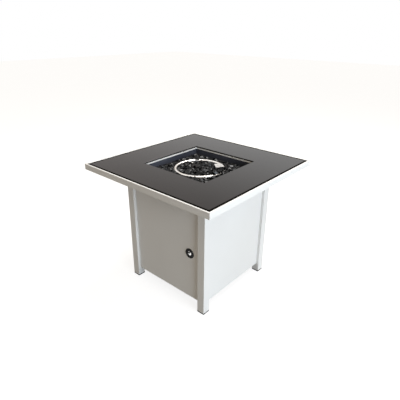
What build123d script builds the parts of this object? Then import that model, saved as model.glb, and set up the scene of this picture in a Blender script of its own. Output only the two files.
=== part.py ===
from build123d import *
import math
import os

# A square gas fire pit table. The origin is on the ground under the middle of the table, +Z is up,
# and the side with the control knob faces -Y. All lengths are in millimetres.

# The table as a whole
table_width = 762.0
table_height = 626.0
base_width = 494.0
leg_width = 40.0
opening_inset = 21.0

# Clearances
seat_gap = 0.3
thread_gap = 0.05
running_gap = 0.05
overrun = 10.0

# The top frame: mitred rails with a ledge that carries the glass
rail_height = 28.0
rail_width = 8.0
rail_wall = 1.5
rail_round = 1.5
ledge_width = 20.0
ledge_thickness = 2.0
brace_thickness = 2.0
brace_arm = 60.0
brace_screw_from_end = 12.0

# The glass top and the pads under it
glass_thickness = 6.0
glass_drop = 0.5
glass_gap = 1.5
glass_corner = 3.0
glass_polish = 0.6
pad_thickness = 1.0
pad_length = 60.0
pad_width = 8.0
pads_per_side = 3

# The bearers that carry the top on the legs
bearer_wall = 1.5

# The inner frame, an angle section round the fire opening
inner_frame_wall = 2.0
inner_frame_lip = 7.0
inner_frame_lap = 8.0

# Legs and feet
leg_wall = 1.5
leg_round = 2.0
foot_height = 7.0
foot_plug_height = 16.0
foot_wall = 2.5
foot_chamfer = 1.0
foot_rib = 2.0

# Folded panels
sheet = 1.2
panel_recess = 14.0
panel_flange = 15.0
panel_bottom = 48.0
panel_gap = 0.5
panel_bend = 2.0
panel_screw_from_end = 60.0

# The back: header, sill and the door between them
header_height = 22.0
sill_height = 14.0
door_side_gap = 3.0
door_gap = 2.5
door_depth = 15.0
door_lip = 16.0
pivot_inset = 12.0
pivot_depth = 8.0
pivot_pin_radius = 3.0
pivot_pin_head_radius = 5.5
pivot_pin_head = 2.0
pivot_pin_reach = 11.0
bush_wall = 2.0
bush_flange_radius = 8.0
bush_height = 6.0
catch_width = 16.0
catch_height = 40.0
catch_depth = 20.0
catch_magnet_height = 26.0
catch_magnet_depth = 6.0
strike_thickness = 1.2
strike_height = 48.0
catch_level = 320.0
pull_radius = 13.0
pull_neck_radius = 6.0
pull_length = 22.0
pull_from_edge = 34.0
pull_round = 3.0

# The burner pan
pan_depth = 68.0
pan_wall = 1.2
pan_lip_gap = 0.5
pan_bend = 2.5
drain_radius = 3.0
drain_from_wall = 40.0

# The ring burner
ring_radius = 117.0
ring_tube_radius = 6.35
ring_tube_wall = 1.0
ring_drop = 32.0
ring_ports = 24
port_radius = 1.2
riser_radius = 10.65
riser_wall = 2.0
riser_neck_radius = 5.0
riser_neck_height = 10.0
riser_azimuth = 128.0
post_radius = 6.0
post_turns = (120.0, 240.0)
locknut_flats = 30.0
locknut_height = 6.0

# The elbow and the air mixer under the pan
elbow_drop = 31.0
elbow_wall = 3.3
elbow_reach = 26.0
elbow_bore_radius = 8.0
mixer_length = 104.0
mixer_wall = 1.5
mixer_bell_radius = 15.0
mixer_bell_length = 30.0
mixer_window_length = 14.0
mixer_window_width = 9.0
spud_thread_radius = 5.0
spud_flats = 14.0
spud_hex = 8.0
spud_thread_length = 9.0
orifice_radius = 0.9

# The feed pipe, its nuts and clips
pipe_radius = 4.0
pipe_bend = 50.0
nut_flats = 17.0
nut_length = 16.0
clip_height = 6.0
clip_depth = 12.0
clip_edge = 5.0
clip_levels = (372.0, 452.0)

# The control: bezel, knob, stem, rotor and valve
knob_from_leg = 58.3
knob_level = 289.0
knob_travel = 4.0
bezel_radius = 24.4
bezel_bore_radius = 10.2
bezel_proud = 2.5
bezel_round = 1.1
bezel_sleeve = 5.0
bezel_sleeve_wall = 0.8
bezel_boss_radius = 3.0
bezel_boss_offset = 21.1
knob_radius = 9.5
knob_edge_proud = 1.2
knob_dome_proud = 3.0
knob_depth = 4.0
knob_hub_radius = 7.0
knob_hub_length = 8.0
pointer_tip_width = 3.0
pointer_root_width = 14.0
pointer_shoulder = 5.5
pointer_from_middle = 1.0
pointer_edge = 1.3
pointer_proud = 6.0
pointer_round = 0.8
stem_radius = 4.0
stem_flat = 2.6
stem_length = 35.0
stem_in_hub = 7.0
rotor_radius = 8.0
rotor_length = 28.0
rotor_proud = 2.0
hub_clearance = 1.0
valve_flange_width = 50.0
valve_flange = 3.0
valve_flange_round = 5.0
valve_bell_radius = 17.4
valve_width = 36.0
valve_height = 40.0
valve_length = 44.0
valve_round = 3.0
valve_port_depth = 22.0
outlet_boss_radius = 8.0
outlet_boss = 5.0
outlet_thread_radius = 5.0
outlet_thread = 9.0
inlet_radius = 7.94
inlet_length = 12.0
inlet_collar_radius = 11.0
inlet_collar = 4.0
inlet_bore_radius = 4.0
terminal_radius = 2.5
terminal_length = 6.0
terminal_offset = 14.0

# The pilot: hood, electrode, thermocouple and their leads
hood_width = 50.0
hood_depth = 39.0
hood_sheet = 1.0
hood_from_ring = 22.5
hood_azimuth = 49.0
hood_above_ring = 3.5
hood_leg_width = 20.0
hood_foot = 9.0
hood_hole_radius = 2.2
hood_hole_offset = 7.5
hood_bend = 1.0
probe_offset = 5.0
electrode_radius = 4.0
electrode_height = 44.0
electrode_below_pan = 5.0
electrode_collar_radius = 4.8
electrode_collar = 3.5
electrode_tip_radius = 1.0
electrode_tip_length = 8.0
thermocouple_radius = 3.0
thermocouple_collar_radius = 4.4
igniter_lead_radius = 1.2
thermocouple_lead_radius = 1.0
lead_drop = 23.0
lead_low_bend = 20.0
lead_high_bend = 8.0

# Rock
bed_gap = 0.5
rock_pitch = 23.0
rock_gap = 0.6
rock_under_ring_gap = 0.3
rock_size_shares = (0.86, 1.0, 0.78, 0.94)
rock_flats = 10
rock_flatness_share = 0.3
rock_wobble_share = 0.2
wall_rock_share = 0.6
cover_rock_size = 13.5
cover_rock_azimuths = (-12.0, -1.0, 10.0, 21.0, 138.0)

# Small screws: hexagon head, with the shank's length given where it is used
screw_radius = 1.8
screw_head_flats = 6.0
screw_head = 2.5
screw_into_tube = 5.0

HALF_TURN = 180.0
FULL_TURN = 360.0
ALL_TURNS = (0, 1, 2, 3)
PANEL_TURNS = (0, 1, 3)
GOLDEN_TURN = FULL_TURN * (3.0 - math.sqrt(5.0)) / 2.0

# Heights that follow from the sizes above
rail_bottom = table_height - rail_height
glass_bottom = table_height - glass_drop - glass_thickness
ledge_top = glass_bottom - pad_thickness
support_top = ledge_top - ledge_thickness
pan_floor = support_top - pan_depth + pan_wall
ring_level = table_height - ring_drop
ring_bottom = ring_level - ring_tube_radius
ring_top = ring_level + ring_tube_radius
elbow_level = pan_floor - elbow_drop
foot_top = foot_height
rotor_to_hub = knob_travel + hub_clearance

# Half widths that follow from the sizes above
table_half = table_width / 2
rail_inner = table_half - rail_width
ledge_inner = rail_inner - ledge_width
base_half = base_width / 2
leg_centre = base_half - leg_width / 2
leg_inner = base_half - leg_width
opening_half = leg_inner - opening_inset
panel_face = base_half - panel_recess
panel_half = leg_inner - panel_gap
glass_half = rail_inner - glass_gap
pan_half = opening_half + inner_frame_wall + pan_lip_gap

os.makedirs("parts", exist_ok=True)


def save(name, shapes):
    """Write one node's STEP file, as one solid or as a group of separate solids."""
    shapes = list(shapes) if isinstance(shapes, (list, tuple)) else [shapes]
    solids = [solid for shape in shapes for solid in shape.solids()]
    export_step(solids[0] if len(solids) == 1 else Compound(children=solids), f"parts/{name}.step")
    print(name, "solids", len(solids))


def block(low, high):
    """A rectangular block between two opposite corners."""
    sizes = [top - bottom for bottom, top in zip(low, high)]
    middle = [(top + bottom) / 2 for bottom, top in zip(low, high)]
    return Pos(*middle) * Box(*sizes)


def rod(start, end, radius):
    """A round bar from one point to another."""
    run = Vector(*end) - Vector(*start)
    return extrude(Plane(origin=start, z_dir=run) * Circle(radius), run.length)


def hexagon_bar(start, end, flats):
    """A hexagon bar from one point to another, with its size across the flats."""
    run = Vector(*end) - Vector(*start)
    outline = RegularPolygon(flats / 2, side_count=6, major_radius=False)
    return extrude(Plane(origin=start, z_dir=run) * outline, run.length)


def screw(seat, direction, length):
    """A hexagon screw with its head on the seat and its shank along the direction."""
    head_end = [place - screw_head * part for place, part in zip(seat, direction)]
    tip = [place + length * part for place, part in zip(seat, direction)]
    return hexagon_bar(seat, head_end, screw_head_flats) + rod(seat, tip, screw_radius)


def screw_hole(seat, direction, length):
    """The clear hole for a screw's shank, which runs a little past its tip."""
    start = [place - thread_gap * part for place, part in zip(seat, direction)]
    end = [place + (length + thread_gap) * part for place, part in zip(seat, direction)]
    return rod(start, end, screw_radius + thread_gap)


def drilled(shape, places, turns=(0,)):
    """A shape with a clear hole for each screw, and for its copies at the given quarter turns."""
    holes = [hole for place in places for hole in quarter_turns(screw_hole(*place), turns)]
    return shape - holes


def screws_at(places, turns=(0,)):
    """The screws at the given places, and their copies at the given quarter turns."""
    return [copy for place in places for copy in quarter_turns(screw(*place), turns)]


def quarter_turns(shape, turns=ALL_TURNS):
    """Copies of a shape, turned about the table's middle by quarter turns."""
    return [Rot(0, 0, turn * FULL_TURN / 4) * shape for turn in turns]


def square_ring(outer, inner, bottom, top):
    """A flat square frame, given by its half widths."""
    return block((-outer, -outer, bottom), (outer, outer, top)) - block(
        (-inner, -inner, bottom - overrun), (inner, inner, top + overrun)
    )


def top_rail():
    """The front rail: a hollow section with a ledge, cut to a mitre at both ends."""
    section = Rectangle(rail_width, rail_height, align=(Align.MIN, Align.MIN))
    section = fillet(section.vertices(), rail_round)
    hollow = Pos(rail_wall, rail_wall) * Rectangle(
        rail_width - 2 * rail_wall, rail_height - 2 * rail_wall, align=(Align.MIN, Align.MIN)
    )
    ledge = Pos(rail_width - rail_wall, support_top - rail_bottom) * Rectangle(
        ledge_width + rail_wall, ledge_thickness, align=(Align.MIN, Align.MIN)
    )
    across = Plane(origin=(-table_half, -table_half, rail_bottom), x_dir=(0, 1, 0), z_dir=(1, 0, 0))
    bar = extrude(across * (section + ledge - hollow), table_width)
    corners = Polyline((-table_half, -table_half), (table_half, -table_half), (0, 0), close=True)
    mitre = extrude(Plane.XY.offset(rail_bottom) * make_face(corners), rail_height)
    return drilled(bar & mitre, brace_screws(), ALL_TURNS)


def corner_brace():
    """An angle plate under the ledges at the front left corner."""
    outer = rail_inner
    inner = rail_inner - ledge_width + glass_gap
    bottom = support_top - brace_thickness
    along_x = block((-outer, -outer, bottom), (-outer + brace_arm, -inner, support_top))
    along_y = block((-outer, -outer, bottom), (-inner, -outer + brace_arm, support_top))
    return along_x + along_y


def brace_screws():
    """The places of the front left corner brace's two screws, up into the ledges."""
    middle = (rail_inner + ledge_inner) / 2
    far = rail_inner - brace_arm + brace_screw_from_end
    seat = support_top - brace_thickness
    length = brace_thickness + ledge_thickness / 2
    return [((-far, -middle, seat), (0, 0, 1), length), ((-middle, -far, seat), (0, 0, 1), length)]


def glass_top():
    """The toughened glass: a plate with a square hole and polished edges."""
    outline = fillet(Rectangle(2 * glass_half, 2 * glass_half).vertices(), glass_corner)
    hole = fillet(Rectangle(2 * opening_half, 2 * opening_half).vertices(), glass_corner)
    plate = extrude(Plane.XY.offset(glass_bottom) * (outline - hole), glass_thickness)
    rims = plate.faces().sort_by(Axis.Z)[-1].edges()
    return chamfer(rims, glass_polish)


def glass_pads():
    """Silicone strips on the ledge, and on the inner frame, under the glass."""
    pads = []
    step = 2 * ledge_inner / pads_per_side
    middle = (rail_inner + ledge_inner) / 2
    for number in range(pads_per_side):
        along = (number - (pads_per_side - 1) / 2) * step
        low = (along - pad_length / 2, -middle - pad_width / 2, ledge_top)
        high = (along + pad_length / 2, -middle + pad_width / 2, glass_bottom)
        pads += quarter_turns(block(low, high))
    lap = opening_half + inner_frame_wall + pad_width
    for along in (-opening_half / 2, opening_half / 2):
        low = (along - pad_length / 2, -lap - pad_width / 2, ledge_top)
        high = (along + pad_length / 2, -lap + pad_width / 2, glass_bottom)
        pads += quarter_turns(block(low, high))
    return pads


def box_tube(low, high, axis, wall):
    """A square-cornered tube along one axis, 0 for X or 1 for Y."""
    inner_low = [value + wall for value in low]
    inner_high = [value - wall for value in high]
    inner_low[axis] = low[axis] - overrun
    inner_high[axis] = high[axis] + overrun
    return block(low, high) - block(inner_low, inner_high)


def bearer_long(side):
    """A bearer from the left rail to the right rail, over two legs."""
    near = side * leg_inner
    far = side * base_half
    low = (-rail_inner, min(near, far), rail_bottom)
    high = (rail_inner, max(near, far), support_top)
    return box_tube(low, high, 0, bearer_wall)


def bearer_short(side):
    """A bearer from the front bearer to the back one."""
    near = side * leg_inner
    far = side * base_half
    low = (min(near, far), -leg_inner, rail_bottom)
    high = (max(near, far), leg_inner, support_top)
    return box_tube(low, high, 1, bearer_wall)


def bearer_stubs():
    """Four short tubes from the long bearers out to the front and back rails."""
    stubs = []
    for low_y, high_y in ((-rail_inner, -base_half), (base_half, rail_inner)):
        for low_x, high_x in ((-base_half, -leg_inner), (leg_inner, base_half)):
            low = (low_x, low_y, rail_bottom)
            high = (high_x, high_y, support_top)
            stubs.append(box_tube(low, high, 1, bearer_wall))
    return stubs


def pan_screw_places():
    """Where the pan's flange is screwed up into the inner frame, two to a side."""
    across = (pan_half + pan_wall + leg_inner) / 2
    places = []
    for along in (-opening_half / 2, opening_half / 2):
        places += [(along, -across), (along, across), (-across, along), (across, along)]
    return places


def pan_screws():
    """The places of the screws that hold the pan's flange."""
    seat = support_top - pan_wall
    length = pan_wall + ledge_thickness / 2
    return [((x, y, seat), (0, 0, 1), length) for x, y in pan_screw_places()]


def inner_frame():
    """The angle section round the fire opening, which laps over the bearers."""
    plate = square_ring(leg_inner + inner_frame_lap, opening_half, support_top, ledge_top)
    lip_bottom = ledge_top - inner_frame_lip
    lip = square_ring(opening_half + inner_frame_wall, opening_half, lip_bottom, support_top)
    return drilled(plate + lip, pan_screws())


def leg(side_x, side_y):
    """A square tube from its foot cap up to the bearer, drilled for the screws it takes."""
    tube = fillet(Rectangle(leg_width, leg_width).vertices(), leg_round)
    bore = Rectangle(leg_width - 2 * leg_wall, leg_width - 2 * leg_wall)
    place = Plane(origin=(side_x * leg_centre, side_y * leg_centre, foot_top))
    post = extrude(place * (tube - bore), rail_bottom - foot_top)
    return drilled(drilled(post, panel_screws(), PANEL_TURNS), catch_screws())


def foot_cap(side_x, side_y):
    """A moulded cap: a foot as wide as the tube, and a hollow ribbed plug up into it."""
    place = Pos(side_x * leg_centre, side_y * leg_centre)
    plug_width = leg_width - 2 * leg_wall - 2 * seat_gap
    pad = extrude(fillet(Rectangle(leg_width, leg_width).vertices(), leg_round), foot_height)
    pad = chamfer(pad.faces().sort_by(Axis.Z)[0].edges(), foot_chamfer)
    plug = extrude(Plane.XY.offset(foot_top) * Rectangle(plug_width, plug_width), foot_plug_height)
    hollow_width = plug_width - 2 * foot_wall
    hollow = extrude(Plane.XY.offset(foot_top) * Rectangle(hollow_width, hollow_width), foot_plug_height)
    ribs = Rectangle(hollow_width, foot_rib) + Rectangle(foot_rib, hollow_width)
    ribs = extrude(Plane.XY.offset(foot_top) * ribs, foot_plug_height - foot_wall)
    return place * (pad + (plug - hollow) + ribs)


def folded_panel(half, bottom, top, depth):
    """A sheet that faces -Y at the panel line, with all four edges folded back."""
    outer = block((-half, -panel_face, bottom), (half, -panel_face + depth, top))
    rims = outer.faces().sort_by(Axis.Y)[0].edges()
    outer = fillet(rims, panel_bend)
    inner_low = (-half + sheet, -panel_face + sheet, bottom + sheet)
    inner = block(inner_low, (half - sheet, -panel_face + depth + overrun, top - sheet))
    return outer - inner


def panel_screws():
    """The places of the four screws through the front panel's side flanges, into the legs."""
    places = []
    depth = -panel_face + panel_flange / 2
    length = sheet + panel_gap + leg_wall + screw_into_tube
    for level in (panel_bottom + panel_screw_from_end, rail_bottom - panel_screw_from_end):
        for side in (-1, 1):
            places.append(((side * (panel_half - sheet), depth, level), (side, 0, 0), length))
    return places


def screwed_panel():
    """A fixed side panel with its screw holes."""
    panel = folded_panel(panel_half, panel_bottom, rail_bottom - panel_gap, panel_flange)
    return drilled(panel, panel_screws())


knob_x = leg_inner - knob_from_leg
knob_place = Plane(origin=(knob_x, -panel_face, knob_level), x_dir=(1, 0, 0), z_dir=(0, -1, 0))
valve_back = sheet + valve_flange


def control_point(across, up, out):
    """A point near the control, by its place across, up and out from the panel's face."""
    return (knob_x + across, -panel_face - out, knob_level + up)


def turned(outline):
    """A piece turned about the control's axis from a closed outline of radius and height outwards."""
    return knob_place.location * revolve(Plane.XZ * make_face(outline), Axis.Z)


def bezel_screw_places():
    """The two sides of the bezel where the valve's screws come in."""
    return (-bezel_boss_offset, bezel_boss_offset)


def front_panel():
    """The fixed panel with the holes for the bezel's sleeve and its two bosses."""
    panel = screwed_panel()
    sleeve = bezel_bore_radius + bezel_sleeve_wall + seat_gap
    outside = control_point(0, 0, overrun)
    inside = control_point(0, 0, -valve_back)
    panel = panel - rod(outside, inside, sleeve)
    for across in bezel_screw_places():
        outside = control_point(across, 0, overrun)
        inside = control_point(across, 0, -valve_back)
        panel = panel - rod(outside, inside, bezel_boss_radius + seat_gap)
    return panel


def control_bezel():
    """The black ring on the panel, with a sleeve and two bosses through it."""
    rim = turned(Polyline(
        (bezel_bore_radius, 0),
        (bezel_radius, 0),
        (bezel_radius, bezel_proud - bezel_round),
        (bezel_radius - bezel_round, bezel_proud),
        (bezel_bore_radius + bezel_sleeve_wall, bezel_proud),
        (bezel_bore_radius, bezel_proud - bezel_sleeve_wall),
        close=True,
    ))
    sleeve = turned(Polyline(
        (bezel_bore_radius, 0),
        (bezel_bore_radius, -bezel_sleeve),
        (bezel_bore_radius + bezel_sleeve_wall, -bezel_sleeve),
        (bezel_bore_radius + bezel_sleeve_wall, 0),
        close=True,
    ))
    bezel = rim + sleeve
    for across in bezel_screw_places():
        bezel = bezel + rod(control_point(across, 0, 0), control_point(across, 0, -sheet), bezel_boss_radius)
    return drilled(bezel, valve_screws())


def valve_screws():
    """The places of the two screws from behind, through the valve's flange, into the bezel."""
    length = valve_back + bezel_proud / 2
    return [(control_point(across, 0, -valve_back), (0, -1, 0), length) for across in bezel_screw_places()]


def d_bar(start_out, end_out, radius, flat):
    """A round bar on the control's axis with one flat, as a stem and its bores have."""
    bar = rod(control_point(0, 0, start_out), control_point(0, 0, end_out), radius)
    low = control_point(-radius - overrun, flat, start_out + overrun)
    high = control_point(radius + overrun, flat + radius + overrun, end_out - overrun)
    return bar - block(low, high)


hub_back = -knob_depth - knob_hub_length
stem_front = hub_back + stem_in_hub
rotor_front = hub_back - rotor_to_hub
body_front = rotor_front - rotor_proud
body_back = body_front - valve_length
port_level = body_front - valve_port_depth


def knob_blank():
    """The knob's outer form, turned: a hub, a disc, and a shallow dome on its face."""
    rise = knob_dome_proud - knob_edge_proud
    dome_radius = (knob_radius * knob_radius + rise * rise) / (2 * rise)
    steepness = math.asin(knob_radius / dome_radius) / 2
    drop = dome_radius * (1 - math.cos(steepness))
    edge = (knob_radius, knob_edge_proud)
    middle = (dome_radius * math.sin(steepness), knob_dome_proud - drop)
    top = (0, knob_dome_proud)
    sides = Polyline(top, (0, hub_back), (knob_hub_radius, hub_back), (knob_hub_radius, -knob_depth),
                     (knob_radius, -knob_depth), edge)
    return turned(Curve() + [sides, ThreePointArc(edge, middle, top)])


def control_knob():
    """The knob with the D-shaped socket for the stem."""
    return knob_blank() - d_bar(stem_front, hub_back - overrun, stem_radius, stem_flat)


def knob_pointer():
    """The raised wedge on the knob's face, a thumb grip that also shows where the knob points."""
    wedge = Polyline(
        (-pointer_root_width / 2, knob_radius),
        (pointer_root_width / 2, knob_radius),
        (pointer_root_width / 2, pointer_shoulder),
        (pointer_tip_width / 2, pointer_from_middle),
        (-pointer_tip_width / 2, pointer_from_middle),
        (-pointer_root_width / 2, pointer_shoulder),
        close=True,
    )
    outline = make_face(wedge) & Circle(knob_radius - pointer_edge)
    bar = extrude(knob_place * outline, pointer_proud)
    bar = chamfer(bar.faces().sort_by(Axis.Y)[0].edges(), pointer_round)
    return bar - knob_blank()


def valve_stem():
    """The stem: fixed in the knob, sliding in the rotor."""
    return d_bar(stem_front, stem_front - stem_length, stem_radius, stem_flat)


def valve_rotor():
    """The brass rotor that the stem turns."""
    body = rod(control_point(0, 0, rotor_front), control_point(0, 0, rotor_front - rotor_length), rotor_radius)
    bore = d_bar(rotor_front + overrun, rotor_front - rotor_length - overrun,
                 stem_radius + running_gap, stem_flat + running_gap)
    return body - bore


def gas_valve_body():
    """The die-cast valve: flange, bell and block, with its outlet on top and its inlet below."""
    flange = fillet(Rectangle(valve_flange_width, valve_flange_width).vertices(), valve_flange_round)
    body = extrude(knob_place.offset(-valve_back) * flange, valve_flange)
    body = body + rod(control_point(0, 0, -valve_back), control_point(0, 0, body_front), valve_bell_radius)
    block_low = control_point(-valve_width / 2, -valve_height / 2, body_front)
    block_high = control_point(valve_width / 2, valve_height / 2, body_back)
    casting = block(block_low, block_high)
    casting = fillet(casting.edges().filter_by(Axis.Y), valve_round)
    body = body + casting
    top = valve_height / 2
    boss_top = top + outlet_boss
    body = body + rod(control_point(0, top, port_level), control_point(0, boss_top, port_level), outlet_boss_radius)
    body = body + rod(control_point(0, boss_top, port_level),
                      control_point(0, boss_top + outlet_thread, port_level), outlet_thread_radius)
    collar_end = -top - inlet_collar
    inlet_end = collar_end - inlet_length
    body = body + rod(control_point(0, -top, port_level), control_point(0, collar_end, port_level),
                      inlet_collar_radius)
    body = body + rod(control_point(0, collar_end, port_level), control_point(0, inlet_end, port_level),
                      inlet_radius)
    for across in (-terminal_offset, terminal_offset):
        body = body + rod(control_point(across, top, port_level),
                          control_point(across, top + terminal_length, port_level), terminal_radius)
    bell_bore = bezel_bore_radius + bezel_sleeve_wall + seat_gap
    body = body - rod(control_point(0, 0, 0), control_point(0, 0, body_front), bell_bore)
    rotor_bore_end = rotor_front - rotor_length - seat_gap
    body = body - rod(control_point(0, 0, 0), control_point(0, 0, rotor_bore_end), rotor_radius + running_gap)
    body = body - rod(control_point(0, inlet_end - overrun, port_level),
                      control_point(0, valve_round - top, port_level), inlet_bore_radius)
    return drilled(body, valve_screws())


door_half = leg_inner - door_side_gap
door_bottom = panel_bottom + sill_height + door_gap
door_top = rail_bottom - panel_gap - header_height - door_gap
pivot_x = -door_half + pivot_inset
pivot_y = panel_face - pivot_depth


def back_header():
    """The folded channel over the door, with the hole for the top pivot pin."""
    top = rail_bottom - panel_gap
    channel = Rot(0, 0, HALF_TURN) * folded_panel(panel_half, top - header_height, top, panel_flange)
    pin_hole = rod((pivot_x, pivot_y, top - header_height - overrun),
                   (pivot_x, pivot_y, top - header_height + overrun), pivot_pin_radius + thread_gap)
    return channel - pin_hole


def back_sill():
    """The folded channel under the door, with the hole for the bottom pivot pin."""
    top = panel_bottom + sill_height
    channel = Rot(0, 0, HALF_TURN) * folded_panel(panel_half, panel_bottom, top, panel_flange)
    pin_hole = rod((pivot_x, pivot_y, top - overrun), (pivot_x, pivot_y, top + overrun),
                   pivot_pin_radius + thread_gap)
    return channel - pin_hole


def pivot_pins():
    """The two door pivots: headed pins, one up through the sill and one down through the header."""
    sill_inside = panel_bottom + sill_height - sheet
    header_inside = rail_bottom - panel_gap - header_height + sheet
    pins = []
    for seat, direction in ((sill_inside, 1), (header_inside, -1)):
        shank = rod((pivot_x, pivot_y, seat), (pivot_x, pivot_y, seat + direction * pivot_pin_reach),
                    pivot_pin_radius)
        head = rod((pivot_x, pivot_y, seat), (pivot_x, pivot_y, seat - direction * pivot_pin_head),
                   pivot_pin_head_radius)
        pins.append(shank + head)
    return pins


def door_bushes():
    """Flanged nylon bushes in the door's bottom and top edges, which turn on the pins."""
    outer = pivot_pin_radius + bush_wall
    bore = pivot_pin_radius + running_gap
    flange = door_gap - seat_gap
    bushes = []
    for edge, direction in ((door_bottom, 1), (door_top, -1)):
        outside = edge - direction * flange
        inside = edge + direction * bush_height
        bush = rod((pivot_x, pivot_y, outside), (pivot_x, pivot_y, edge), bush_flange_radius)
        bush = bush + rod((pivot_x, pivot_y, edge), (pivot_x, pivot_y, inside), outer)
        bushes.append(bush - rod((pivot_x, pivot_y, outside), (pivot_x, pivot_y, inside), bore))
    return bushes


strike_back = panel_face - door_depth
pull_x = door_half - pull_from_edge


def back_door():
    """The door: a folded sheet with a lip at the closing edge, which the catch holds."""
    door = Rot(0, 0, HALF_TURN) * folded_panel(door_half, door_bottom, door_top, door_depth)
    lip_low = (door_half - door_lip, panel_face - door_depth, door_bottom + sheet)
    lip_high = (door_half - sheet, panel_face - door_depth + sheet, door_top - sheet)
    door = door + block(lip_low, lip_high)
    bush_hole = pivot_pin_radius + bush_wall + thread_gap
    for edge in (door_bottom, door_top):
        door = door - rod((pivot_x, pivot_y, edge - overrun), (pivot_x, pivot_y, edge + overrun), bush_hole)
    return drilled(door, pull_screw())


def door_pull():
    """A turned knob on the door's face."""
    place = Plane(origin=(pull_x, panel_face, catch_level), z_dir=(0, 1, 0))
    neck = extrude(place * Circle(pull_neck_radius), pull_length / 2)
    head = extrude(place.offset(pull_length / 2) * Circle(pull_radius), pull_length / 2)
    head = fillet(head.edges(), pull_round)
    return drilled(neck + head, pull_screw())


def pull_screw():
    """The place of the screw from inside the door into the pull."""
    return [((pull_x, panel_face - sheet, catch_level), (0, 1, 0), sheet + pull_length / 2)]


def strike_plate():
    """The steel plate on the door's lip that meets the magnet."""
    low = (door_half - door_lip, strike_back - strike_thickness, catch_level - strike_height / 2)
    high = (door_half - sheet, strike_back, catch_level + strike_height / 2)
    return block(low, high)


catch_front = strike_back - strike_thickness - seat_gap


def catch_magnet():
    """The magnet in the front of the catch."""
    inset = (catch_width - door_lip + sheet) / 2 + sheet
    low = (leg_inner - catch_width + inset, catch_front - catch_magnet_depth,
           catch_level - catch_magnet_height / 2)
    high = (leg_inner - inset, catch_front, catch_level + catch_magnet_height / 2)
    return block(low, high)


def catch_screws():
    """The places of the two screws from the catch into the leg."""
    depth = catch_front - catch_depth * 2 / 3
    offset = (catch_height + catch_magnet_height) / 4
    length = catch_width + leg_wall + screw_into_tube
    levels = (catch_level - offset, catch_level + offset)
    return [((leg_inner - catch_width, depth, level), (1, 0, 0), length) for level in levels]


def catch_body():
    """The catch's housing on the leg's inner face."""
    low = (leg_inner - catch_width, catch_front - catch_depth, catch_level - catch_height / 2)
    high = (leg_inner, catch_front, catch_level + catch_height / 2)
    return drilled(block(low, high) - catch_magnet(), catch_screws())


riser_x = ring_radius * math.cos(math.radians(riser_azimuth))
riser_y = ring_radius * math.sin(math.radians(riser_azimuth))
post_places = [
    (ring_radius * math.cos(math.radians(riser_azimuth + turn)),
     ring_radius * math.sin(math.radians(riser_azimuth + turn)))
    for turn in post_turns
]
hood_from_middle = ring_radius - hood_from_ring
hood_place = Rot(0, 0, hood_azimuth) * Pos(hood_from_middle, 0, 0)


def by_hood(outwards, across):
    """A place by the pilot hood, from the hood's middle away from the table's middle and across that."""
    turn = math.radians(hood_azimuth)
    away = hood_from_middle + outwards
    return (away * math.cos(turn) - across * math.sin(turn), away * math.sin(turn) + across * math.cos(turn))


probe_places = (by_hood(-probe_offset, 0), by_hood(probe_offset, 0))


def burner_pan():
    """The folded steel tray that hangs from the inner frame."""
    outer = pan_half + pan_wall
    bottom = pan_floor - pan_wall
    tray = block((-outer, -outer, bottom), (outer, outer, support_top))
    sides = tray.edges().filter_by(Axis.Z)
    tray = fillet(sides, pan_bend)
    hollow = block((-pan_half, -pan_half, pan_floor), (pan_half, pan_half, support_top + overrun))
    hollow = fillet(hollow.edges().filter_by(Axis.Z), pan_bend - pan_wall)
    flange_half = leg_inner - panel_gap
    flange = block((-flange_half, -flange_half, support_top - pan_wall), (flange_half, flange_half, support_top))
    pan = tray + flange - hollow
    deep = (bottom - overrun, pan_floor + overrun)
    pan = pan - rod((riser_x, riser_y, deep[0]), (riser_x, riser_y, deep[1]), riser_radius + seat_gap)
    for x, y in probe_places:
        pan = pan - rod((x, y, deep[0]), (x, y, deep[1]), electrode_radius + seat_gap)
    drain = pan_half - drain_from_wall
    for x, y in ((-drain, -drain), (drain, -drain), (drain, drain), (-drain, drain)):
        pan = pan - rod((x, y, deep[0]), (x, y, deep[1]), drain_radius)
    return drilled(drilled(pan, pan_screws()), hood_screws())


def half_ring(radius, bore=0):
    """Half of the ring's tube, from azimuth zero to a half turn."""
    section = Circle(radius) - Circle(bore) if bore else Circle(radius)
    return revolve(Plane.XZ * (Pos(ring_radius, 0) * section), Axis.Z, HALF_TURN)


def ring_burner():
    """The ring with its ports, and the riser that is welded under it and brings the gas.

    It is made with the riser at the middle of the first half ring, and turned to its place."""
    bore = ring_tube_radius - ring_tube_wall
    drop = elbow_level + elbow_wall - ring_level
    shoulder = -ring_tube_radius - riser_neck_height
    outer = half_ring(ring_tube_radius)
    outer = outer + rod((0, ring_radius, shoulder), (0, ring_radius, 0), riser_neck_radius)
    outer = outer + rod((0, ring_radius, drop), (0, ring_radius, shoulder + riser_wall), riser_radius)
    inner = half_ring(bore)
    inner = inner + rod((0, ring_radius, shoulder), (0, ring_radius, 0), riser_neck_radius - ring_tube_wall)
    inner = inner + rod((0, ring_radius, drop), (0, ring_radius, shoulder), riser_radius - riser_wall)
    halves = [outer - inner, Rot(0, 0, HALF_TURN) * half_ring(ring_tube_radius, bore)]
    ports = []
    for number in range(ring_ports):
        azimuth = math.radians((number + 1 / 2) * FULL_TURN / ring_ports)
        x = ring_radius * math.cos(azimuth)
        y = ring_radius * math.sin(azimuth)
        ports.append(rod((x, y, 0), (x, y, ring_tube_radius + overrun), port_radius))
    ring = (halves[0] - ports) + (halves[1] - ports)
    return Pos(0, 0, ring_level) * (Rot(0, 0, riser_azimuth - FULL_TURN / 4) * ring)


def burner_posts():
    """Two posts on the pan's floor that carry the ring."""
    ring = Pos(0, 0, ring_level) * Torus(ring_radius, ring_tube_radius + seat_gap)
    posts = []
    for x, y in post_places:
        posts.append(rod((x, y, pan_floor), (x, y, ring_bottom + ring_tube_wall), post_radius) - ring)
    return posts


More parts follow.
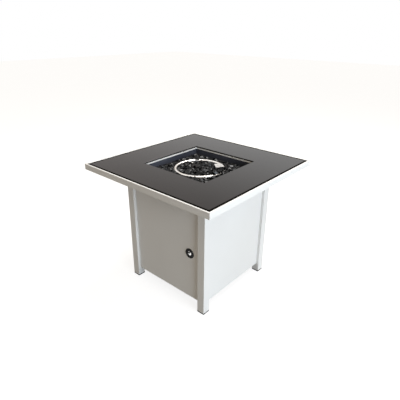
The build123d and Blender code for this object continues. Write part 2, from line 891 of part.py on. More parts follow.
def burner_locknuts():
    """Two hexagon nuts on the riser, above and below the pan's floor."""
    nuts = []
    bore = rod((riser_x, riser_y, elbow_level), (riser_x, riser_y, ring_bottom), riser_radius + thread_gap)
    for seat, direction in ((pan_floor, 1), (pan_floor - pan_wall, -1)):
        nut = hexagon_bar((riser_x, riser_y, seat),
                          (riser_x, riser_y, seat + direction * locknut_height), locknut_flats)
        nuts.append(nut - bore)
    return nuts


control_y = -panel_face - port_level
run_x = knob_x - riser_x
run_y = control_y - riser_y
run_length = math.hypot(run_x, run_y)
elbow_radius = riser_radius + elbow_wall


def under_pan(distance, level=elbow_level):
    """A point on the line from the riser to the valve's outlet, by its distance from the riser."""
    share = distance / run_length
    return (riser_x + share * run_x, riser_y + share * run_y, level)


def burner_elbow():
    """The cast elbow that turns the mixer's flow up into the riser."""
    top = pan_floor - pan_wall - locknut_height - seat_gap
    elbow = Pos(riser_x, riser_y, elbow_level) * Sphere(elbow_radius)
    elbow = elbow + rod(under_pan(0), (riser_x, riser_y, top), elbow_radius)
    elbow = elbow + rod(under_pan(0), under_pan(elbow_reach), elbow_radius)
    socket = riser_radius + thread_gap
    elbow = elbow - Pos(riser_x, riser_y, elbow_level) * Sphere(elbow_bore_radius)
    elbow = elbow - rod((riser_x, riser_y, elbow_level + elbow_wall), (riser_x, riser_y, top), socket)
    elbow = elbow - rod(under_pan(elbow_radius), under_pan(elbow_reach), socket)
    elbow = elbow - rod(under_pan(0), under_pan(elbow_radius), elbow_bore_radius)
    return elbow - rod(under_pan(0), (riser_x, riser_y, elbow_level + elbow_radius), elbow_bore_radius)


mixer_start = elbow_radius + seat_gap
mixer_end = mixer_start + mixer_length
bell_start = mixer_end - mixer_bell_length
spud_end = mixer_end + spud_hex + spud_thread_length


def air_mixer():
    """The tube where gas draws in air: a straight tube, a bell with windows, and an end wall."""
    body = rod(under_pan(mixer_start), under_pan(mixer_end), riser_radius)
    body = body + rod(under_pan(bell_start), under_pan(mixer_end), mixer_bell_radius)
    body = body - rod(under_pan(mixer_start), under_pan(mixer_end - mixer_wall), riser_radius - mixer_wall)
    body = body - rod(under_pan(bell_start + mixer_wall), under_pan(mixer_end - mixer_wall),
                      mixer_bell_radius - mixer_wall)
    body = body - rod(under_pan(bell_start), under_pan(mixer_end), spud_thread_radius + thread_gap)
    middle = (bell_start + mixer_end) / 2
    along = Plane(origin=under_pan(middle), x_dir=(run_x, run_y, 0), z_dir=(0, 0, 1))
    window = Box(mixer_window_length, mixer_window_width, 2 * mixer_bell_radius + overrun)
    body = body - along.location * window
    return body - along.location * (Rot(FULL_TURN / 4, 0, 0) * window)


def orifice_spud():
    """The brass spud that meters the gas into the mixer."""
    spud = hexagon_bar(under_pan(mixer_end), under_pan(mixer_end + spud_hex), spud_flats)
    spud = spud + rod(under_pan(mixer_end - mixer_wall - spud_hex), under_pan(spud_end), spud_thread_radius)
    spud = spud - rod(under_pan(mixer_end), under_pan(spud_end), spud_thread_radius / 2)
    return spud - rod(under_pan(mixer_end - mixer_wall - spud_hex), under_pan(spud_end), orifice_radius)


outlet_top = knob_level + valve_height / 2 + outlet_boss + outlet_thread
outlet_base = outlet_top - outlet_thread


def feed_pipe():
    """The aluminium pipe: up from the valve's outlet, one bend, and along under the pan."""
    start = (knob_x, control_y, outlet_top + seat_gap)
    corner = (knob_x, control_y, elbow_level)
    end = under_pan(spud_end + seat_gap)
    route = FilletPolyline(start, corner, end, radius=pipe_bend)
    section = Plane(origin=start, z_dir=(0, 0, 1)) * (Circle(pipe_radius) - Circle(pipe_radius / 2))
    print("feed pipe length", round(route.length, 1), "bend radius", pipe_bend)
    return sweep(section, path=route)


def flare_nuts():
    """The nut at each end of the feed pipe."""
    bore = spud_thread_radius + thread_gap
    neck = pipe_radius + thread_gap
    low = hexagon_bar((knob_x, control_y, outlet_base + seat_gap),
                      (knob_x, control_y, outlet_base + nut_length), nut_flats)
    low = low - rod((knob_x, control_y, outlet_base), (knob_x, control_y, outlet_top), bore)
    low = low - rod((knob_x, control_y, outlet_base), (knob_x, control_y, outlet_base + nut_length), neck)
    start = mixer_end + spud_hex + seat_gap
    high = hexagon_bar(under_pan(start), under_pan(start + nut_length), nut_flats)
    high = high - rod(under_pan(start), under_pan(spud_end), bore)
    high = high - rod(under_pan(start), under_pan(start + nut_length), neck)
    return [low, high]


def pipe_clips():
    """Comb clips that hold the two leads beside the feed pipe."""
    clips = []
    half_width = terminal_offset + clip_edge
    for level in clip_levels:
        low = (knob_x - half_width, control_y - clip_depth / 2, level)
        high = (knob_x + half_width, control_y + clip_depth / 2, level + clip_height)
        clip = block(low, high)
        holes = ((0, pipe_radius), (-terminal_offset, igniter_lead_radius),
                 (terminal_offset, thermocouple_lead_radius))
        for across, radius in holes:
            clip = clip - rod((knob_x + across, control_y, level),
                              (knob_x + across, control_y, level + clip_height), radius + thread_gap)
        clips.append(clip)
    return clips


def lead(across, place, end_level, radius):
    """A lead from the valve's terminal, up beside the pipe, under the pan and up to its probe."""
    x = knob_x + across
    level = pan_floor - lead_drop
    start = (x, control_y, knob_level + valve_height / 2 + terminal_length)
    points = (start, (x, control_y, level), (place[0], place[1], level), (place[0], place[1], end_level))
    route = FilletPolyline(*points, radius=(lead_low_bend, lead_high_bend))
    print("lead length", round(route.length, 1), "bend radii", lead_low_bend, lead_high_bend)
    return sweep(Plane(origin=start, z_dir=(0, 0, 1)) * Circle(radius), path=route)


probe_bottom = pan_floor - pan_wall - electrode_below_pan
probe_top = probe_bottom + electrode_height


def igniter_electrode():
    """The ceramic insulator of the igniter, on the pan's floor."""
    x, y = probe_places[0]
    body = rod((x, y, probe_bottom), (x, y, probe_top), electrode_radius)
    return body + rod((x, y, pan_floor), (x, y, pan_floor + electrode_collar), electrode_collar_radius)


def electrode_tip():
    """The bent wire on top of the insulator, where the spark jumps."""
    x, y = probe_places[0]
    bend = (x, y, probe_top + electrode_tip_length / 2)
    end = (x + electrode_tip_length / 2, y + electrode_tip_length / 2, probe_top + electrode_tip_length)
    wire = rod((x, y, probe_top), bend, electrode_tip_radius)
    return wire + rod(bend, end, electrode_tip_radius) + Pos(*bend) * Sphere(electrode_tip_radius)


def thermocouple():
    """The flame probe: a rod with a rounded tip and a collar on the pan's floor."""
    x, y = probe_places[1]
    body = rod((x, y, probe_bottom), (x, y, probe_top), thermocouple_radius)
    body = body + Pos(x, y, probe_top) * Sphere(thermocouple_radius)
    return body + rod((x, y, pan_floor), (x, y, pan_floor + electrode_collar), thermocouple_collar_radius)


hood_top = ring_top + hood_above_ring + hood_sheet


def hood_screws():
    """The places of the two screws that hold the hood's feet to the pan."""
    seat = pan_floor + hood_sheet
    length = hood_sheet + pan_wall / 2
    feet_middles = (by_hood(-(hood_depth + hood_foot) / 2, 0), by_hood(0, (hood_width + hood_foot) / 2))
    return [((x, y, seat), (0, 0, -1), length) for x, y in feet_middles]


def pilot_hood():
    """The bent stainless cover over the pilot: a plate on two legs with feet."""
    deep = hood_depth / 2
    wide = hood_width / 2
    leg_half = hood_leg_width / 2
    under = hood_top - hood_sheet
    foot = pan_floor + hood_sheet
    cover = block((-deep, -wide, under), (deep, wide, hood_top))
    cover = fillet(cover.edges().filter_by(Axis.Z), hood_bend)
    cover = cover + block((-deep, -leg_half, pan_floor), (-deep + hood_sheet, leg_half, under))
    cover = cover + block((-deep - hood_foot, -leg_half, pan_floor), (-deep, leg_half, foot))
    cover = cover + block((-leg_half, wide - hood_sheet, pan_floor), (leg_half, wide, under))
    cover = cover + block((-leg_half, wide, pan_floor), (leg_half, wide + hood_foot, foot))
    for outwards in (-hood_hole_offset, hood_hole_offset):
        cover = cover - rod((outwards, 0, under), (outwards, 0, hood_top), hood_hole_radius)
    return drilled(hood_place * cover, hood_screws())


bed_top = ring_bottom - rock_pitch / 2 - rock_under_ring_gap


def hood_space():
    """The space that the pilot hood and its feet take in the rock, about the hood's own middle."""
    low = (-hood_depth / 2 - hood_foot - rock_gap, -hood_width / 2 - rock_gap, pan_floor - overrun)
    high = (hood_depth / 2 + rock_gap, hood_width / 2 + hood_foot + rock_gap, table_height)
    return block(low, high)


def rock_bed():
    """The deeper rock, as one body that fills the pan's floor round the burner's fittings."""
    half = pan_half - bed_gap
    bed = block((-half, -half, pan_floor), (half, half, bed_top))
    bed = fillet(bed.edges().filter_by(Axis.Z), pan_bend)
    bed = bed - hood_place * hood_space()
    nut_space = locknut_flats / math.sqrt(3.0) + rock_gap
    bed = bed - rod((riser_x, riser_y, pan_floor), (riser_x, riser_y, bed_top), nut_space)
    for x, y in post_places:
        bed = bed - rod((x, y, pan_floor), (x, y, bed_top), post_radius + rock_gap)
    return bed


def rock_blank(number):
    """One chunk of broken rock, one unit across: a block with a flat struck off on every side."""
    chunk = Box(2, 2, 2)
    for flat in range(rock_flats):
        up = 1 - (2 * flat + 1) / rock_flats
        across = math.sqrt(1 - up * up)
        turn = math.radians((flat + number / 2) * GOLDEN_TURN)
        outwards = Vector(across * math.cos(turn), across * math.sin(turn), up)
        wobble = math.sin(flat + flat + number + number)
        distance = (1 - rock_flatness_share * abs(up)) * (1 + rock_wobble_share * wobble) / 2
        chunk = split(chunk, bisect_by=Plane(origin=outwards * distance, z_dir=outwards), keep=Keep.BOTTOM)
    chunk = Pos(*-chunk.bounding_box().center()) * chunk
    reach = max(math.hypot(vertex.X, vertex.Y) for vertex in chunk.vertices())
    return scale(chunk, by=1 / (2 * reach))


rock_kinds = [rock_blank(number) for number in range(1, 9)]
rock_kind_heights = [kind.bounding_box().size.Z for kind in rock_kinds]


def rock(number, x, y, level, size):
    """A copy of one of the chunks, turned and set down on a level."""
    chunk = Rot(0, 0, number * GOLDEN_TURN) * scale(rock_kinds[number % len(rock_kinds)], by=size)
    return Pos(x, y, level - chunk.bounding_box().min.Z) * chunk


def clear_of_fittings(x, y, reach):
    """Whether a chunk keeps off the pilot hood, the riser's nut and the ring's posts."""
    turn = math.radians(hood_azimuth)
    outwards = x * math.cos(turn) + y * math.sin(turn) - hood_from_middle
    across = y * math.cos(turn) - x * math.sin(turn)
    hood = hood_space().bounding_box()
    by_the_hood = (hood.min.X - reach < outwards < hood.max.X + reach
                   and hood.min.Y - reach < across < hood.max.Y + reach)
    nut_reach = locknut_flats / math.sqrt(3.0) + rock_gap + reach
    by_the_riser = math.hypot(x - riser_x, y - riser_y) < nut_reach
    by_a_post = any(math.hypot(x - a, y - b) < post_radius + rock_gap + reach for a, b in post_places)
    return not (by_the_hood or by_the_riser or by_a_post)


def fire_rocks():
    """The top layer: chunks in staggered rows, each off its cell's middle by the room that it leaves."""
    half = pan_half - bed_gap
    cells = int(2 * half / rock_pitch)
    pitch = 2 * half / cells
    rocks = {"rocks_in_ring": [], "rocks_round_ring": []}
    for number in range(cells * cells):
        row, column = divmod(number, cells)
        shift = row % 2 / 2
        if column + shift > cells - 1:
            continue
        x = -half + pitch * (column + shift + 1 / 2)
        y = -half + pitch * (row + 1 / 2)
        size = (pitch - rock_gap) * rock_size_shares[number % len(rock_size_shares)]
        if half - max(abs(x), abs(y)) < pitch:
            size = size * wall_rock_share
        reach = size / 2
        room = pitch / 2 - rock_gap / 2 - reach
        x += room * math.cos(math.radians(number * GOLDEN_TURN))
        y += room * math.sin(math.radians(number * GOLDEN_TURN))
        if not clear_of_fittings(x, y, reach):
            continue
        distance = math.hypot(x, y)
        near_ring = abs(distance - ring_radius) < ring_tube_radius + rock_gap + reach
        if near_ring:
            headroom = ring_bottom - rock_under_ring_gap - bed_top
            size = min(size, headroom / rock_kind_heights[number % len(rock_kinds)])
        place = "rocks_in_ring" if distance < ring_radius else "rocks_round_ring"
        rocks[place].append(rock(number, x, y, bed_top, size))
    return rocks


def cover_rock_pieces():
    """The chunks that lie on top of the ring, most of them at its right side."""
    rocks = []
    for number, azimuth in enumerate(cover_rock_azimuths):
        size = cover_rock_size * rock_size_shares[number % len(rock_size_shares)]
        x = ring_radius * math.cos(math.radians(azimuth))
        y = ring_radius * math.sin(math.radians(azimuth))
        rocks.append(rock(number, x, y, ring_top + rock_under_ring_gap, size))
    return rocks


for name, turned_rail in zip(("front", "right", "back", "left"), quarter_turns(top_rail())):
    save(f"top_rail_{name}", turned_rail)
save("corner_braces", quarter_turns(drilled(corner_brace(), brace_screws())))
save("glass_top", glass_top())
save("glass_pads", glass_pads())
save("bearer_front", bearer_long(-1))
save("bearer_back", bearer_long(1))
save("bearer_left", bearer_short(-1))
save("bearer_right", bearer_short(1))
save("bearer_stubs", bearer_stubs())
save("inner_frame", inner_frame())

feet = []
for side_y, depth_name in ((-1, "front"), (1, "back")):
    for side_x, side_name in ((-1, "left"), (1, "right")):
        save(f"leg_{depth_name}_{side_name}", leg(side_x, side_y))
        feet.append(foot_cap(side_x, side_y))
save("foot_caps", feet)

save("front_panel", front_panel())
right_panel, left_panel = quarter_turns(screwed_panel(), (1, 3))
save("right_panel", right_panel)
save("left_panel", left_panel)
save("leg_screws", screws_at(panel_screws(), PANEL_TURNS) + screws_at(catch_screws()))
save("back_header", back_header())
save("back_sill", back_sill())
save("door_pivot_pins", pivot_pins())
save("back_door", back_door())
save("door_bushes", door_bushes())
save("door_pull", door_pull())
save("door_pull_screw", screws_at(pull_screw()))
save("strike_plate", strike_plate())
save("catch_body", catch_body())
save("catch_magnet", catch_magnet())

save("burner_pan", burner_pan())
save("frame_screws", screws_at(brace_screws(), ALL_TURNS) + screws_at(pan_screws() + hood_screws()))
save("ring_burner", ring_burner())
save("burner_posts", burner_posts())
save("burner_locknuts", burner_locknuts())
save("burner_elbow", burner_elbow())
save("air_mixer", air_mixer())
save("orifice_spud", orifice_spud())
save("feed_pipe", feed_pipe())
save("flare_nuts", flare_nuts())
save("pipe_clips", pipe_clips())

save("control_bezel", control_bezel())
save("control_knob", control_knob())
save("knob_pointer", knob_pointer())
save("valve_stem", valve_stem())
save("valve_rotor", valve_rotor())
save("gas_valve_body", gas_valve_body())
save("valve_screws", screws_at(valve_screws()))

save("pilot_hood", pilot_hood())
save("igniter_electrode", igniter_electrode())
save("electrode_tip", electrode_tip())
save("thermocouple", thermocouple())
save("igniter_lead", lead(-terminal_offset, probe_places[0], probe_bottom, igniter_lead_radius))
save("thermocouple_lead", lead(terminal_offset, probe_places[1], probe_bottom, thermocouple_lead_radius))

save("rock_bed", rock_bed())
for name, pieces in fire_rocks().items():
    save(name, pieces)
save("cover_rocks", cover_rock_pieces())
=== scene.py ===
# %% [markdown]
# # A gas fire pit table, dressed for its portrait
# The table's frame, glass, burner and valve come from the CAD model, piece by piece, at their real size.
# This script gives each of them its finish, breaks and pours the lava rock, and sets up a plain studio.
# Everything is in metres, with the ground at zero and the knob's side towards -Y.

# %% Load the frame
import math
import random

import bmesh
import bpy
from mathutils import Matrix, Vector


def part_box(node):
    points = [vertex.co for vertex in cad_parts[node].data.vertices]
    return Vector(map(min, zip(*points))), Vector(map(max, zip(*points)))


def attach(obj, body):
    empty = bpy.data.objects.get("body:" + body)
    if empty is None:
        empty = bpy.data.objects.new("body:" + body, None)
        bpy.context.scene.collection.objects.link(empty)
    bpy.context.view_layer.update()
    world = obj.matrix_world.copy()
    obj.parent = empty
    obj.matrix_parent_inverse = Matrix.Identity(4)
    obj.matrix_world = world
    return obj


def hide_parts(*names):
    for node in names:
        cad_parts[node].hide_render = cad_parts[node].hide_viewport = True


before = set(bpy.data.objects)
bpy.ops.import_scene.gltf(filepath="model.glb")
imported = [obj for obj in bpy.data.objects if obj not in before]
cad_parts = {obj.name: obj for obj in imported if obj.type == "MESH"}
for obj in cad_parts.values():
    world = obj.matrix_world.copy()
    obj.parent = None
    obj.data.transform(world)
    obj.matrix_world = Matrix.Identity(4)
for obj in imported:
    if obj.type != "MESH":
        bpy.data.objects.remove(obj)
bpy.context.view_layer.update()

# %% [markdown]
# ## The camera
# The photograph was taken from a little above the table, off its front right corner. A camera can be aimed
# by eye at an empty, but its picture then drifts a few pixels from the photograph. Here its place and angles
# were found by fitting a pinhole camera to the corners of the top and of the legs, so they are plain
# numbers. A camera looks along its own -Z, so its axes are set as the columns of its matrix.

# %% Camera
IMAGE_SIDE = 400
FOCAL_PIXELS = 372.0
CAMERA_PLACE = Vector((1.1091, -1.2687, 1.2116))
CAMERA_YAW = math.radians(41.05)
CAMERA_PITCH = math.radians(24.99)
CAMERA_ROLL = math.radians(0.47)


def make_camera():
    """A camera at the photograph's place, turned by its yaw, pitch and roll."""
    level = math.cos(CAMERA_PITCH)
    forward = Vector((-math.sin(CAMERA_YAW) * level, math.cos(CAMERA_YAW) * level, -math.sin(CAMERA_PITCH)))
    right = forward.cross(Vector((0, 0, 1))).normalized()
    up = right.cross(forward)
    turned_right = math.cos(CAMERA_ROLL) * right + math.sin(CAMERA_ROLL) * up
    turned_up = math.cos(CAMERA_ROLL) * up - math.sin(CAMERA_ROLL) * right
    camera = bpy.data.objects.new("camera", bpy.data.cameras.new("camera"))
    camera.data.lens = FOCAL_PIXELS / IMAGE_SIDE * camera.data.sensor_width
    camera.matrix_world = Matrix.Translation(CAMERA_PLACE) @ Matrix(
        (turned_right, turned_up, -forward)).transposed().to_4x4()
    bpy.context.scene.collection.objects.link(camera)
    bpy.context.scene.camera = camera
    return camera


camera = make_camera()
print("lens", round(camera.data.lens, 2), "mm")

# %% [markdown]
# ## The studio
# The photograph's key light is cool and comes from the right, so the sides that face +X are nearly white and
# the knob's side lies in a warm half light. The background is pure white. More light could make it so, but
# it would burn out the white paint too. So the lamps stay at a plain level, and the world and the floor are
# white only for the rays that see them directly: those from the camera, from a mirror or through glass.

# %% What a ray sees
scene = bpy.context.scene
scene.view_settings.view_transform = "Standard"
WHITE = (1.0, 1.0, 1.0, 1.0)


def seen_directly(nodes, links):
    """1 for camera, mirror and glass rays, and 0 for the rays that only carry light."""
    path = nodes.new("ShaderNodeLightPath")
    camera_or_mirror = nodes.new("ShaderNodeMath")
    camera_or_mirror.operation = "MAXIMUM"
    or_glass = nodes.new("ShaderNodeMath")
    or_glass.operation = "MAXIMUM"
    links.new(path.outputs["Is Camera Ray"], camera_or_mirror.inputs[0])
    links.new(path.outputs["Is Glossy Ray"], camera_or_mirror.inputs[1])
    links.new(camera_or_mirror.outputs[0], or_glass.inputs[0])
    links.new(path.outputs["Is Transmission Ray"], or_glass.inputs[1])
    return or_glass.outputs[0]


print("view transform", scene.view_settings.view_transform)

# %% [markdown]
# ## The room in the glass
# Most of what the black top shows is the room that it mirrors. A white room would make the glass one flat
# grey, and a picture of a room would be a file of its own. So mirrors see a white room with a dimmer, warmer
# band part-way up, made by a ramp. The band leans: it stands higher at the right, so the glass goes from dark
# in front to pale at the back and at its right side.

# %% The room
ROOM_FILL = (0.375, 0.33, 0.265, 1.0)
DIM_BAND = (0.60, 0.55, 0.53, 1.0)
ROOM_LEAN = (-0.376, -0.327, 1.2)
ROOM_STOPS = ((0.263, WHITE), (0.523, DIM_BAND), (0.663, DIM_BAND), (0.963, WHITE))


def room_color(nodes, links):
    """White with a dimmer, leaning band part-way up, for mirrors and glass, and white for the camera."""
    direction = nodes.new("ShaderNodeTexCoord")
    leaning_height = nodes.new("ShaderNodeVectorMath")
    leaning_height.operation = "DOT_PRODUCT"
    leaning_height.inputs[1].default_value = ROOM_LEAN
    links.new(direction.outputs["Generated"], leaning_height.inputs[0])
    ramp = nodes.new("ShaderNodeValToRGB")
    links.new(leaning_height.outputs["Value"], ramp.inputs["Fac"])
    stops = ramp.color_ramp.elements
    while len(stops) < len(ROOM_STOPS):
        stops.new(1.0)
    for stop, (height, color) in zip(stops, ROOM_STOPS):
        stop.position = height
        stop.color = color
    path = nodes.new("ShaderNodeLightPath")
    room = nodes.new("ShaderNodeMix")
    room.data_type = "RGBA"
    room.inputs["B"].default_value = WHITE
    links.new(path.outputs["Is Camera Ray"], room.inputs["Factor"])
    links.new(ramp.outputs["Color"], room.inputs["A"])
    return room.outputs["Result"]


def make_world():
    """The room where it is seen, and a dim warm fill where it only lights."""
    world = bpy.data.worlds.new("studio")
    scene.world = world
    world.use_nodes = True
    nodes, links = world.node_tree.nodes, world.node_tree.links
    mix = nodes.new("ShaderNodeMix")
    mix.data_type = "RGBA"
    mix.inputs["A"].default_value = ROOM_FILL
    links.new(room_color(nodes, links), mix.inputs["B"])
    links.new(seen_directly(nodes, links), mix.inputs["Factor"])
    links.new(mix.outputs["Result"], nodes["Background"].inputs["Color"])


make_world()
print("world", scene.world.name, "with", len(ROOM_STOPS), "stops in its band")

# %% [markdown]
# ## The lamps
# Small or distant lamps would give hard shadows, which the photograph doesn't have. Two broad area lamps do
# it: a cool one, low on the right, for the bright side, and one overhead for the rails, the ring and the rock.

# %% Lamps
LAMPS = (
    {"name": "key_lamp", "place": (3.1, -0.6, 1.05), "target": (0, 0, 0.35), "size": 2.0, "watts": 84,
     "color": (0.80, 0.90, 1.0)},
    {"name": "top_lamp", "place": (0.3, 1.1, 2.9), "target": (0, 0, 0.5), "size": 1.8, "watts": 82,
     "color": (1.0, 0.99, 0.97)},
)


def make_lamp(name, place, target, size, watts, color):
    """A square soft lamp that points at a target."""
    light = bpy.data.lights.new(name, "AREA")
    light.size = size
    light.energy = watts
    light.color = color
    lamp = bpy.data.objects.new(name, light)
    aim = (Vector(target) - Vector(place)).to_track_quat("-Z", "Y")
    lamp.matrix_world = Matrix.Translation(place) @ aim.to_matrix().to_4x4()
    scene.collection.objects.link(lamp)
    print(name, size, "m square,", watts, "W")


for lamp in LAMPS:
    make_lamp(**lamp)

# %% [markdown]
# ## The floor
# The floor is one large square. To the camera it is lifted to pure white, and it still darkens where the
# table shades it. To light that bounces off it, it is a warm grey, so that it doesn't fill the shaded side.

# %% Floor
FLOOR_HALF = 14.0
FLOOR_BOUNCE = (0.16, 0.135, 0.11, 1.0)
FLOOR_SEEN = (0.4, 0.4, 0.4, 1.0)
FLOOR_LIFT = 0.82
FLOOR_ROUGHNESS = 0.9
FLOOR_SHINE = 0.1


def floor_material():
    """Matt, white with shadows where it is seen, and warm grey where it only sends light back."""
    material = bpy.data.materials.new("pale_floor")
    material.use_nodes = True
    nodes, links = material.node_tree.nodes, material.node_tree.links
    shader = nodes["Principled BSDF"]
    shader.inputs["Roughness"].default_value = FLOOR_ROUGHNESS
    shader.inputs["Specular IOR Level"].default_value = FLOOR_SHINE
    seen = seen_directly(nodes, links)
    mix = nodes.new("ShaderNodeMix")
    mix.data_type = "RGBA"
    mix.inputs["A"].default_value = FLOOR_BOUNCE
    mix.inputs["B"].default_value = FLOOR_SEEN
    links.new(seen, mix.inputs["Factor"])
    links.new(mix.outputs["Result"], shader.inputs["Base Color"])
    lift = nodes.new("ShaderNodeMath")
    lift.operation = "MULTIPLY"
    lift.inputs[1].default_value = FLOOR_LIFT
    links.new(seen, lift.inputs[0])
    shader.inputs["Emission Color"].default_value = WHITE
    links.new(lift.outputs[0], shader.inputs["Emission Strength"])
    return material


def make_floor():
    """A pale floor that turns pure white in the open and keeps the table's shadow."""
    shape = bmesh.new()
    bmesh.ops.create_grid(shape, x_segments=1, y_segments=1, size=FLOOR_HALF)
    mesh = bpy.data.meshes.new("floor")
    shape.to_mesh(mesh)
    shape.free()
    floor = bpy.data.objects.new("floor", mesh)
    scene.collection.objects.link(floor)
    mesh.materials.append(floor_material())


make_floor()
print("floor", 2 * FLOOR_HALF, "m square")

# %% [markdown]
# ## Shared surface effects
# Paint, glass, steel and rock differ mostly in two effects: a slow unevenness of tone and gloss, and a fine
# grain that breaks up the highlights. Pulled out along one direction, either turns into the streaks of
# brushed steel. Each could be built again in every material, but then a change would have to be made twenty
# times. So each is a shader node group, made once. The groups only hand out colours and values, and each
# material keeps its own shader.

# %% What every group needs
def new_group(name, inputs, outputs):
    """An empty shader group with named sockets, and its input and output nodes."""
    group = bpy.data.node_groups.new(name, "ShaderNodeTree")
    for socket, kind, default in inputs:
        made = group.interface.new_socket(socket, in_out="INPUT", socket_type=kind)
        made.default_value = default
    for socket, kind in outputs:
        group.interface.new_socket(socket, in_out="OUTPUT", socket_type=kind)
    return group, group.nodes.new("NodeGroupInput"), group.nodes.new("NodeGroupOutput")


def stretched_place(group, entry):
    """Object coordinates, stretched by the group's Stretch input."""
    place = group.nodes.new("ShaderNodeTexCoord")
    stretch = group.nodes.new("ShaderNodeVectorMath")
    stretch.operation = "MULTIPLY"
    group.links.new(place.outputs["Object"], stretch.inputs[0])
    group.links.new(entry.outputs["Stretch"], stretch.inputs[1])
    return stretch.outputs["Vector"]


# %% Uneven tone
CLOUD_LOW = 0.32
CLOUD_HIGH = 0.68


def make_uneven_group():
    """A colour and a value that drift together between two limits each."""
    group, entry, end = new_group(
        "uneven_tone",
        [("Stretch", "NodeSocketVector", (1, 1, 1)), ("Scale", "NodeSocketFloat", 6.0),
         ("Detail", "NodeSocketFloat", 3.0), ("Low Color", "NodeSocketColor", WHITE),
         ("High Color", "NodeSocketColor", WHITE), ("Low Value", "NodeSocketFloat", 0.3),
         ("High Value", "NodeSocketFloat", 0.5)],
        [("Color", "NodeSocketColor"), ("Value", "NodeSocketFloat")])
    cloud = group.nodes.new("ShaderNodeTexNoise")
    group.links.new(stretched_place(group, entry), cloud.inputs["Vector"])
    group.links.new(entry.outputs["Scale"], cloud.inputs["Scale"])
    group.links.new(entry.outputs["Detail"], cloud.inputs["Detail"])
    spread = group.nodes.new("ShaderNodeMapRange")
    spread.inputs["From Min"].default_value = CLOUD_LOW
    spread.inputs["From Max"].default_value = CLOUD_HIGH
    group.links.new(cloud.outputs["Fac"], spread.inputs["Value"])
    tone = group.nodes.new("ShaderNodeMix")
    tone.data_type = "RGBA"
    group.links.new(spread.outputs["Result"], tone.inputs["Factor"])
    group.links.new(entry.outputs["Low Color"], tone.inputs["A"])
    group.links.new(entry.outputs["High Color"], tone.inputs["B"])
    value = group.nodes.new("ShaderNodeMapRange")
    group.links.new(spread.outputs["Result"], value.inputs["Value"])
    group.links.new(entry.outputs["Low Value"], value.inputs["To Min"])
    group.links.new(entry.outputs["High Value"], value.inputs["To Max"])
    group.links.new(tone.outputs["Result"], end.inputs["Color"])
    group.links.new(value.outputs["Result"], end.inputs["Value"])
    return group


UNEVEN = make_uneven_group()
print("effect", UNEVEN.name, "with", len(UNEVEN.nodes), "nodes")

# %% Fine grain
GRAIN_DETAIL = 2.0


def make_grain_group():
    """A fine raised grain, or pits, or a blend of both, as a height for a bump."""
    group, entry, end = new_group(
        "fine_grain",
        [("Stretch", "NodeSocketVector", (1, 1, 1)), ("Scale", "NodeSocketFloat", 900.0),
         ("Pits", "NodeSocketFloat", 0.0)],
        [("Height", "NodeSocketFloat")])
    place = stretched_place(group, entry)
    grain = group.nodes.new("ShaderNodeTexNoise")
    grain.inputs["Detail"].default_value = GRAIN_DETAIL
    group.links.new(place, grain.inputs["Vector"])
    group.links.new(entry.outputs["Scale"], grain.inputs["Scale"])
    cells = group.nodes.new("ShaderNodeTexVoronoi")
    group.links.new(place, cells.inputs["Vector"])
    group.links.new(entry.outputs["Scale"], cells.inputs["Scale"])
    blend = group.nodes.new("ShaderNodeMix")
    group.links.new(entry.outputs["Pits"], blend.inputs["Factor"])
    group.links.new(grain.outputs["Fac"], blend.inputs["A"])
    group.links.new(cells.outputs["Distance"], blend.inputs["B"])
    group.links.new(blend.outputs["Result"], end.inputs["Height"])
    return group


GRAIN = make_grain_group()
print("effect", GRAIN.name, "with", len(GRAIN.nodes), "nodes")

# %% [markdown]
# ## One recipe for a finish
# Most finishes here have the same parts in different amounts: two tones that drift into each other, a
# roughness that drifts with them, and a grain. `finish` builds such a material from those amounts. `cloud`
# and `grain` are how many fit in a metre, because the patterns read the object's own metres.

# %% The recipe
def place_group(material, group, **values):
    """A group node in a material, with its inputs set."""
    node = material.node_tree.nodes.new("ShaderNodeGroup")
    node.node_tree = group
    for name, value in values.items():
        node.inputs[name.replace("_", " ")].default_value = value
    return node


def finish(name, low, high, roughness, cloud=6.0, stretch=(1, 1, 1), detail=3.0, metallic=0.0,
           grain=900.0, grain_depth=0.00002, grain_stretch=(1, 1, 1), pits=0.0, **fixed):
    """A material with drifting tone and roughness, and a grain of a given depth in metres."""
    material = bpy.data.materials.new(name)
    material.use_nodes = True
    links = material.node_tree.links
    shader = material.node_tree.nodes["Principled BSDF"]
    shader.inputs["Metallic"].default_value = metallic
    for socket, value in fixed.items():
        shader.inputs[socket.replace("_", " ")].default_value = value
    tone = place_group(material, UNEVEN, Stretch=stretch, Scale=cloud, Detail=detail, Low_Color=(*low, 1.0),
                       High_Color=(*high, 1.0), Low_Value=roughness[0], High_Value=roughness[1])
    links.new(tone.outputs["Color"], shader.inputs["Base Color"])
    links.new(tone.outputs["Value"], shader.inputs["Roughness"])
    surface = place_group(material, GRAIN, Stretch=grain_stretch, Scale=grain, Pits=pits)
    bump = material.node_tree.nodes.new("ShaderNodeBump")
    bump.inputs["Distance"].default_value = grain_depth
    links.new(surface.outputs["Height"], bump.inputs["Height"])
    links.new(bump.outputs["Normal"], shader.inputs["Normal"])
    material.diffuse_color = (*high, 1.0)
    print("finish", name)
    return material


# %% [markdown]
# ## Paint and enamel
# The frame, legs and panels are powder coated: off-white, with the faint orange peel that baked powder
# leaves. The pan under the fire has black high-heat enamel. A plain colour would look like paper, so the
# tone drifts by a few percent and the grain makes the highlights waver.

# %% Paint and enamel
powder_white = finish("powder_white", (0.83, 0.825, 0.81), (0.87, 0.868, 0.855), (0.36, 0.44), cloud=3.0,
                      grain=750.0, grain_depth=0.00006, Specular_IOR_Level=0.35)
pan_enamel = finish("pan_enamel", (0.05, 0.055, 0.074), (0.076, 0.082, 0.106), (0.3, 0.42), cloud=9.0,
                    grain=500.0, grain_depth=0.00005, Specular_IOR_Level=0.3)

